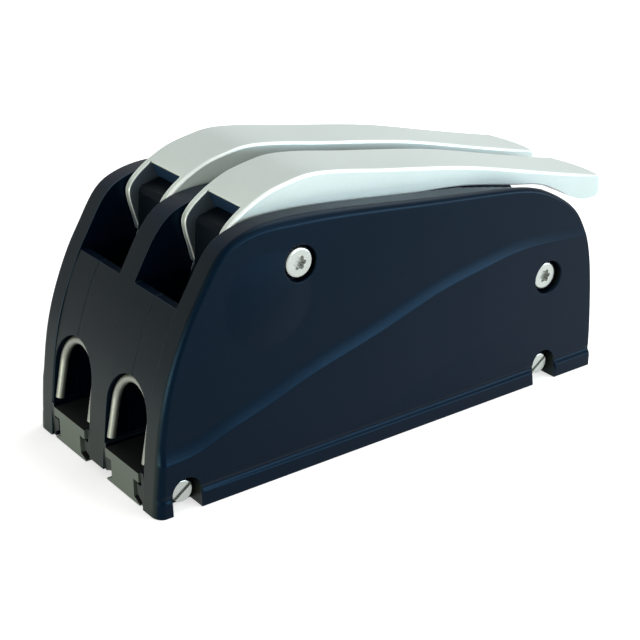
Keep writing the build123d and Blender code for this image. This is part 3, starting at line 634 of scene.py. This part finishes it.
def relieved(y, side):
    """The wall's outline at y, cut down by the sloping relief, and its normals."""
    sloped = np.array([FALL, -side * LEAN, 1.0]) / math.sqrt(1 + FALL * FALL + LEAN * LEAN)
    limit = RELIEF_Z - FALL * (edge[:, 0] - RELIEF_X) - LEAN * (WALL_OUTER - EDGE_RADIUS - y)
    cut = edge[:, 1] > limit
    line = np.stack([edge[:, 0], np.minimum(edge[:, 1], limit)], axis=1)
    return line, np.where(cut[:, None], sloped, outward)


def edge_rows(shell):
    """Rows of points over the edge of a wall, from its inner side to its outer side."""
    rows = []
    for a in quarter(INNER_STEPS):
        y = WALL_INNER + INNER_ROUND * (1 - math.cos(a))
        line, out = relieved(y, shell.side)
        line = line + inward * INNER_ROUND * (1 - math.sin(a))
        rows.append(shell.put(foot(line), y, out * math.sin(a) + np.array([0, -shell.side * math.cos(a), 0])))
    for t in np.linspace(0, 1, TOP_ROWS):
        y = (WALL_INNER + 2 * INNER_ROUND) * (1 - t) + (WALL_OUTER - rim - TOP_GAP) * t
        line, out = relieved(y, shell.side)
        rows.append(shell.put(foot(line), y, out))
    proud = relief(side_edge[:, 0], side_edge[:, 1])
    side_normal = relief_normal(side_edge[:, 0], side_edge[:, 1], shell.side)
    for a in quarter(RIM_STEPS):
        line = edge + inward * (rim * (1 - math.cos(a)))[:, None]
        y = WALL_OUTER - rim + (rim + proud) * math.sin(a)
        rows.append(shell.put(foot(line), y, unit(outward * math.cos(a) + side_normal * math.sin(a))))
    return rows


def wall_sides(shell):
    """The outer side with its relief, and the flat inner side."""
    shell.flat(side_outline(), bore_rings, SIDE_GRID, lambda x, z: WALL_OUTER + relief(x, z),
               lambda x, z: relief_normal(x, z, shell.side), swoosh_edges)
    inner_loop = foot(relieved(WALL_INNER, shell.side)[0] + inward * INNER_ROUND)
    shell.flat(inner_loop, [], INNER_GRID, lambda x, z: WALL_INNER, lambda x, z: (0, -shell.side, 0),
               inwards=True)


def cut_bore(shell, cx, cz, depth, mouth):
    """Recess over a torx screw, with a rounded mouth."""
    to_middle = np.stack([cx - mouth[:, 0], np.zeros(BORE_POINTS), cz - mouth[:, 1]], axis=1) / BORE_RADIUS
    side_normal = relief_normal(mouth[:, 0], mouth[:, 1], shell.side)
    top = WALL_OUTER + relief(mouth[:, 0], mouth[:, 1])
    rows = []
    for a in quarter(CHAMFER_STEPS):
        circle = ring(cx, cz, BORE_RADIUS - CHAMFER * math.sin(a), BORE_POINTS)
        rows.append(shell.put(circle, top - CHAMFER * (1 - math.cos(a)),
                              side_normal * math.cos(a) + to_middle * math.sin(a)))
    for upper, lower in zip(rows, rows[1:]):
        shell.strip(upper, lower, BORE_POINTS, closed=True)
    throat = ring(cx, cz, BORE_RADIUS - CHAMFER, BORE_POINTS)
    shell.recess(throat, top - CHAMFER, WALL_OUTER - depth, to_middle, closed=True)


def cut_notch(shell, cx, loop):
    """Recess round a tie screw, open at the foot."""
    half = NOTCH_WIDTH / 2
    spring = NOTCH_HEIGHT - half
    x, z = loop[:, 0], loop[:, 1]
    across = np.where(z > spring, (cx - x) / half, np.sign(cx - x))
    down = np.where(z > spring, (spring - z) / half, 0.0)
    normals = np.stack([across, np.zeros(len(loop)), down], axis=1)
    shell.recess(loop, WALL_OUTER + relief(x, z), WALL_OUTER - NOTCH_DEPTH, normals)


def deck_strip(shell, start, end, outer=None):
    """A stretch of the face on the deck, out to outer or to the side's own relief."""
    xs = np.linspace(start, end, max(2, int(end - start)))
    if outer is None:
        outer = WALL_OUTER + relief(xs, np.zeros(len(xs)))
    line = np.stack([xs, np.zeros(len(xs))], axis=1)
    down = (0, 0, -1)
    shell.strip(shell.put(line, WALL_INNER, down), shell.put(line, outer, down), len(xs))


def deck_face(shell):
    """The face on the deck, which draws back behind the notches."""
    cursor = FRONT + FRONT_RIM
    for x in TIES:
        start, end = x - NOTCH_WIDTH / 2, x + NOTCH_WIDTH / 2
        deck_strip(shell, cursor, start)
        deck_strip(shell, start, end, WALL_OUTER - NOTCH_DEPTH)
        cursor = end
    deck_strip(shell, cursor, REAR - REAR_RIM)


def foot_ledge(shell):
    """The ledge and tongue along the foot, towards the rope."""
    for (y0, z0), (y1, z1) in zip(LEDGE, LEDGE[1:]):
        out = unit(np.array([0.0, shell.side * (z1 - z0), y0 - y1]))
        a = shell.put([(LEDGE_FRONT, z0), (LEDGE_REAR, z0)], y0, out)
        b = shell.put([(LEDGE_FRONT, z1), (LEDGE_REAR, z1)], y1, out)
        shell.strip(a, b, 2)
    for x, way in ((LEDGE_FRONT, -1), (LEDGE_REAR, 1)):
        start = shell.put([(x, z) for _, z in LEDGE], [y for y, _ in LEDGE], (way, 0, 0))
        shell.face(list(range(start, start + len(LEDGE)))[::way])


def build_wall(name, side, node):
    shell = Shell(side)
    rows = edge_rows(shell)
    for inner, outer in zip(rows, rows[1:]):
        shell.strip(outer, inner, len(edge))
    wall_sides(shell)
    for (cx, cz, depth), mouth in zip(BORES, bore_rings):
        cut_bore(shell, cx, cz, depth, mouth)
    for cx, loop in zip(TIES, notches):
        cut_notch(shell, cx, loop)
    deck_face(shell)
    foot_ledge(shell)
    # The rounded inner edge's faces come first; they get a painted highlight.
    highlit = INNER_STEPS * (len(edge) - 1)
    new_piece(name, shell.mesh(name, highlit), body_of[node], slot_of[node], [node])


# ---- Handles: outline ------------------------------------------------------------------
x, z, h = *PIVOT, LEVER_CROWN
LEVER_TOP = [FORK_TOP, (x + 5.9, h - 2.4), (x + 13.7, h - 0.7), (x + 21.2, h), (-9.1, h - 2.2),
             (-0.4, h - 3.9), (29.2, h - 9.2), (48.3, h - 13.7), (68.3, h - 19.0), (96.0, h - 26.0)]
LEVER_UNDER = [(96.0, h - 31.4), (86.2, h - 32.0), (80.6, h - 30.4), (75.9, h - 27.9), (67.4, h - 23.6),
               (53.9, h - 20.5), (35.8, h - 16.8), (20.4, h - 15.0), (0.0, h - 14.2), (-18.0, h - 13.6),
               (-32.0, h - 13.0)]
EAR_BACK = [(-32.0, h - 13.0), (x + 8.4, z + 17.2), (x + 4.6, z + 13.0), (x + 3.7, z + 8.6),
            (x + 3.2, z + 5.8)]
EAR_FRONT = [FORK_TOP, (x - 5.5, z + 22.4), (x - 8.5, z + 19.4), (x - 9.4, z + 17.0), (x - 9.0, z + 13.6),
             (x - 7.9, z + 9.4), (x - 6.4, z + 4.2)]
LEVER_STEP, HOLLOW_STEP = 0.6, 1.2
TAIL_ARC = (LEVER_HALF ** 2 + TAIL_BOW ** 2) / (2 * TAIL_BOW)      # radius of the tail's bow
TAIL_POINTS, TAIL_JOIN = 40, 0.2
WEB_AMONG, NOTCH_AMONG = 12, 25                  # first points of the ear to look for the web and notch among
AXLE_HOLE_POINTS, PIN_HOLE_POINTS = 32, 16
CREASE_FADE = 3.0                                # points over which an inner edge's rounding comes in
EYE_TAPER, EYE_RISE, EYE_SHARE = 4, 5, 0.3       # the crease narrows to a share of itself round the eye
SHADE_HIGH, SHADE_SPAN, SHADE_MOST = 80, 16, 0.9     # the ears' edges get painted shade below this height
EAR_SHADED, HOLLOW_SHADED, EAR_HIGHLIT = 0.9, 1.0, 0.8      # how much painted shade the inside faces get, and painted highlight their inner edges

lever_top, lever_under = spline(LEVER_TOP, LEVER_STEP), spline(LEVER_UNDER, LEVER_STEP)
lever_top[:, 1] = np.minimum(lever_top[:, 1], LEVER_CROWN)
hollow_top = spline([(px, pz - SKIN_THICKNESS) for px, pz in LEVER_TOP[2:8]], HOLLOW_STEP)
eye_arc = np.radians(np.linspace(EYE_FROM, EYE_TO, EYE_POINTS))
eye_line = np.stack([x + EYE_RADIUS * np.cos(eye_arc), z + EYE_RADIUS * np.sin(eye_arc)], axis=1)
ear_line = np.vstack([spline(EAR_BACK, LEVER_STEP)[1:-1], eye_line, spline(EAR_FRONT, LEVER_STEP)[::-1][:-1]])


def lever_outline(y):
    """Outline of a lever at y from its middle, clockwise from the fork over the tail to the ear."""
    end = TAIL_END - TAIL_ARC + math.sqrt(TAIL_ARC ** 2 - y * y)
    top = on_curve(lever_top, np.linspace(TAIL_START, end - TAIL_HIGH_ROUND, TAIL_POINTS))
    under = on_curve(lever_under, np.linspace(end - TAIL_LOW_ROUND, TAIL_START, TAIL_POINTS))
    high, low = on_curve(lever_top, np.array([end]))[0], on_curve(lever_under, np.array([end]))[0]
    face_high, face_low = high - (0, TAIL_HIGH_ROUND), low + (0, TAIL_LOW_ROUND)
    return np.vstack([lever_top[lever_top[:, 0] < TAIL_START - TAIL_JOIN], top,
                      rounded(top[-1], high, face_high), face_high, face_low,
                      rounded(face_low, low, under[0]), under,
                      lever_under[lever_under[:, 0] < TAIL_START - TAIL_JOIN], ear_line])


def nearest(values, wanted):
    """Number of the value that is nearest to the wanted one."""
    return int(np.argmin(abs(values - wanted)))


# Numbers of points along the outline where its inner faces begin and end
outline = lever_outline(FORK_HALF)
count = len(outline)
ears = count - len(ear_line)
tail = int(np.argmax(outline[:, 0]))
crown = 1
skirt = tail + nearest(outline[tail:ears, 0], HOLLOW_REAR)
web = ears + nearest(outline[ears:ears + WEB_AMONG, 0], HOLLOW_FRONT)
notch = ears + nearest(outline[ears:ears + NOTCH_AMONG, 1], WEB_Z)
under_span = np.arange(skirt, web + 1)
fork_span = np.arange(notch, count + crown + 1) % count

# The hollow under the lever, and the back of the notch between its ears
hollow = np.vstack([(outline[skirt, 0], hollow_top[-1, 1]), hollow_top[::-1][1:]])
fork_top, web_front = np.array(FORK_TOP), np.array((FORK_TOP[0] + FORK_SLOPE, WEB_Z))
below_top = fork_top - FORK_ROUND_REACH * unit(fork_top - web_front)
fork = np.vstack([web_front, below_top, rounded(below_top, fork_top, outline[crown], FORK_ROUND)])

# How far the edges are rounded, and how much painted shade the ears' edges get, point by point
crease = CREASE * (EYE_SHARE + (1 - EYE_SHARE) * ease((outline[:, 1] - (PIVOT[1] + EYE_RISE)) / EYE_TAPER))
inner_crease = np.zeros(count)
for span in (under_span, fork_span):
    from_end = np.minimum(np.arange(len(span)), np.arange(len(span))[::-1])
    inner_crease[span] = np.maximum(inner_crease[span], EAR_CREASE * np.clip(from_end / CREASE_FADE, 0, 1))
ear_shade = np.where(np.arange(count) >= ears,
                     np.clip((SHADE_HIGH - outline[:, 1]) / SHADE_SPAN, 0, SHADE_MOST), 0.0)
holes = [ring(x, z, AXLE_HOLE, AXLE_HOLE_POINTS), ring(x, z + PIN_RISE, PIN_HOLE, PIN_HOLE_POINTS)]


# ---- Handles: their mesh ---------------------------------------------------------------
LEVER_WELD, LEVER_SLIVER, LEVER_SMOOTH_ANGLE = 0.003, 0.002, 30


class Casting:
    """A lever's mesh, drawn about the middle of its line, with marks for faces with painted highlight and for
    faces with painted shade.
    """

    def __init__(self, middle):
        self.middle = middle
        self.bm = bmesh.new()
        self.rub = self.bm.faces.layers.float.new("rub")
        self.inner = self.bm.faces.layers.float.new("inner")

    def put(self, loop, y):
        return [self.bm.verts.new((px * MM, (self.middle + py) * MM, pz * MM))
                for (px, pz), py in zip(loop, np.broadcast_to(y, len(loop)))]

    def strip(self, a, b, closed, highlit=0.0, within=0.0):
        """Faces between two rows of points."""
        within = np.broadcast_to(within, len(a))
        for i in range(len(a) if closed else len(a) - 1):
            j = (i + 1) % len(a)
            face = self.bm.faces.new((a[i], a[j], b[j], b[i]))
            face[self.rub], face[self.inner] = highlit, within[i]

    def panel(self, loop, holes, y, within=0.0):
        """A flat face round its holes."""
        found, cells = fill(loop, holes)
        made = self.put(found, y)
        for cell in cells:
            self.bm.faces.new([made[i] for i in cell])[self.inner] = within

    def mesh(self, name):
        bmesh.ops.remove_doubles(self.bm, verts=self.bm.verts, dist=LEVER_WELD * MM)
        bmesh.ops.dissolve_degenerate(self.bm, dist=LEVER_SLIVER * MM, edges=self.bm.edges)
        bmesh.ops.recalc_face_normals(self.bm, faces=self.bm.faces)
        smooth_by_angle(self.bm, LEVER_SMOOTH_ANGLE)
        mesh = bpy.data.meshes.new(name)
        self.bm.to_mesh(mesh)
        self.bm.free()
        return mesh


def lever_core(cast):
    """The lever between its sides: crown, tail, hollow, web and the back of the fork's notch."""
    rows = []
    for y in np.linspace(-FORK_HALF, FORK_HALF, CORE_ROWS):
        line = lever_outline(abs(y))
        rows.append(cast.put(np.vstack([line[crown:skirt + 1], hollow, line[web:notch + 1], fork]), y))
    within = np.zeros(len(rows[0]))
    within[skirt - crown:-FORK_ROUND] = HOLLOW_SHADED
    for a, b in zip(rows, rows[1:]):
        cast.strip(a, b, True, within=within)


def side_inside(cast, side, first, span, core, openings, within):
    """Rounded inner edge and inner face of a lever's side, between its outline and the core."""
    previous = [first[i] for i in span]
    for a in quarter(EAR_STEPS)[1:]:
        bent = shrink(outline, inner_crease * (1 - math.cos(a)))[span]
        now = cast.put(bent, side * (FORK_HALF + inner_crease[span] * (1 - math.sin(a))))
        cast.strip(previous, now, False, EAR_HIGHLIT, ear_shade[span])
        previous = now
    cast.panel(np.vstack([bent, core[::-1]]), openings, side * FORK_HALF, within)


def lever_side(cast, side):
    """One side of a lever with its rounded crease, and what shows of its inside."""
    first = cast.put(outline, side * (FORK_HALF + inner_crease))
    previous = first
    for a in quarter(CREASE_STEPS):
        line = lever_outline(LEVER_HALF - CREASE * (1 - math.sin(a)))
        line = shrink(line, crease * (1 - math.cos(a)))
        now = cast.put(line, side * (LEVER_HALF - crease * (1 - math.sin(a))))
        # The crease's rounded rows get the full painted highlight, and the ears' parts of them also painted
        # shade.
        cast.strip(previous, now, True, 1.0 if a else 0.0, ear_shade)
        previous = now
    cast.panel(line, holes, side * LEVER_HALF)
    side_inside(cast, side, first, under_span, hollow, [], HOLLOW_SHADED)
    side_inside(cast, side, first, fork_span, fork, holes, EAR_SHADED)
    for hole in holes:
        cast.strip(cast.put(hole, side * FORK_HALF), cast.put(hole, side * LEVER_HALF), True)


def build_handle(name, node, middle):
    cast = Casting(middle)
    lever_core(cast)
    for side in (-1, 1):
        lever_side(cast, side)
    even_shading(new_piece(name, cast.mesh(name), body_of[node], slot_of[node], [node]))


# ---- The part ----------------------------------------------------------------------------
build_wall("wall_near_shown", -1, "side_wall_near")
build_wall("wall_far_shown", 1, "side_wall_far")
for line, middle in LINES.items():
    build_handle("handle_" + line + "_shown", "handle_" + line, middle)
for node, width in SOFTENED.items():
    soften(node, width)
for line in LINES:
    for node, width in SOFTENED_ON_EACH_LINE.items():
        soften(node + line, width)

for node, thing in frame["nodes"].items():
    thing.data.materials.clear()
    thing.data.materials.append(wire if node.startswith("rope_guide") else FINISH[slot_of[node]])

# ---- Floor and world, which show white and light the part softly ---------------------------
FLOOR_SIZE, FLOOR_DROP = 6, 0.0002
FLOOR_GREY, FLOOR_ROUGHNESS, FLOOR_GLOW = 0.86, 0.95, 0.60
SKY_LIGHT, SKY_SEEN = 0.30, 1.0


def seen(tree):
    """1 for rays that show the background: straight from the camera, mirrored or through glass."""
    path = tree.nodes.new("ShaderNodeLightPath").outputs
    mirrored = calculate(tree, "MAXIMUM", path["Is Camera Ray"], path["Is Glossy Ray"])
    return calculate(tree, "MAXIMUM", mirrored, path["Is Transmission Ray"])


def build_floor():
    bpy.ops.mesh.primitive_plane_add(size=FLOOR_SIZE, location=(0, 0, -FLOOR_DROP))
    floor = bpy.context.object
    floor.name = "floor"
    material, tree, shader = new_material("floor_finish")
    shader.inputs["Base Color"].default_value = (FLOOR_GREY, FLOOR_GREY, FLOOR_GREY, 1)
    shader.inputs["Roughness"].default_value = FLOOR_ROUGHNESS
    shader.inputs["Specular IOR Level"].default_value = 0.0
    shader.inputs["Emission Color"].default_value = (*WHITE, 1)
    link(tree, calculate(tree, "MULTIPLY", seen(tree), FLOOR_GLOW), shader.inputs["Emission Strength"])
    floor.data.materials.append(material)
    return floor


def background(tree, strength):
    node = tree.nodes.new("ShaderNodeBackground")
    node.inputs["Color"].default_value = (*WHITE, 1)
    node.inputs["Strength"].default_value = strength
    return node.outputs[0]


def build_world():
    world = bpy.data.worlds.new("studio")
    bpy.context.scene.world = world
    world.use_nodes = True
    tree = world.node_tree
    tree.nodes.clear()
    out = tree.nodes.new("ShaderNodeOutputWorld")
    mix = tree.nodes.new("ShaderNodeMixShader")
    link(tree, seen(tree), mix.inputs["Fac"])
    link(tree, background(tree, SKY_LIGHT), mix.inputs[1])
    link(tree, background(tree, SKY_SEEN), mix.inputs[2])
    link(tree, mix.outputs[0], out.inputs["Surface"])


floor = build_floor()
build_world()

# ---- Lamps and camera ------------------------------------------------------------------------
LAMP_TARGET = (0, 0, 0.03)
LAMPS = [   # name, place, size, watts and colour
    ("key_top", (0.45, 0.0, 0.75), (0.6, 0.6), 4.2, (0.97, 1.0, 0.96)),
    ("fill_side", (0.30, -0.85, 0.70), (0.8, 0.4), 3.0, (0.97, 1.0, 0.98)),
    ("crease_light", (0.62, -0.86, 0.12), (0.9, 0.2), 8.0, (0.72, 0.90, 1.0)),
    ("fill_front", (-0.55, -0.08, 0.045), (0.4, 0.08), 2.3, (1.0, 1.0, 0.80)),
]
CAMERA_PLACE = (-0.27200, -0.36475, 0.23408)
CAMERA_AZIMUTH, CAMERA_ELEVATION = -36.448, 24.588
CAMERA_LENS, CAMERA_SENSOR = 88.26, 36.0


def lamp(name, place, size, power, colour):
    data = bpy.data.lights.new(name, "AREA")
    data.shape = "RECTANGLE"
    data.size, data.size_y = size
    data.energy = power
    data.color = colour
    thing = bpy.data.objects.new(name, data)
    bpy.context.scene.collection.objects.link(thing)
    thing.location = place
    thing.rotation_mode = "QUATERNION"
    thing.rotation_quaternion = (Vector(LAMP_TARGET) - Vector(place)).to_track_quat("-Z", "Y")


def place_camera():
    camera = bpy.data.cameras.new("camera")
    camera.lens, camera.sensor_width = CAMERA_LENS, CAMERA_SENSOR
    camera.clip_start, camera.clip_end = 0.01, 20.0
    eye = bpy.data.objects.new("camera", camera)
    bpy.context.scene.collection.objects.link(eye)
    bpy.context.scene.camera = eye
    azimuth, elevation = math.radians(CAMERA_AZIMUTH), math.radians(CAMERA_ELEVATION)
    right = Vector((math.cos(azimuth), math.sin(azimuth), 0))
    back = Vector((math.sin(azimuth) * math.cos(elevation), -math.cos(azimuth) * math.cos(elevation),
                   math.sin(elevation)))
    turn = Matrix((right, back.cross(right), back)).transposed()
    eye.matrix_world = Matrix.Translation(CAMERA_PLACE) @ turn.to_4x4()


for settings in LAMPS:
    lamp(*settings)
place_camera()
bpy.context.scene.view_settings.view_transform = "Standard"
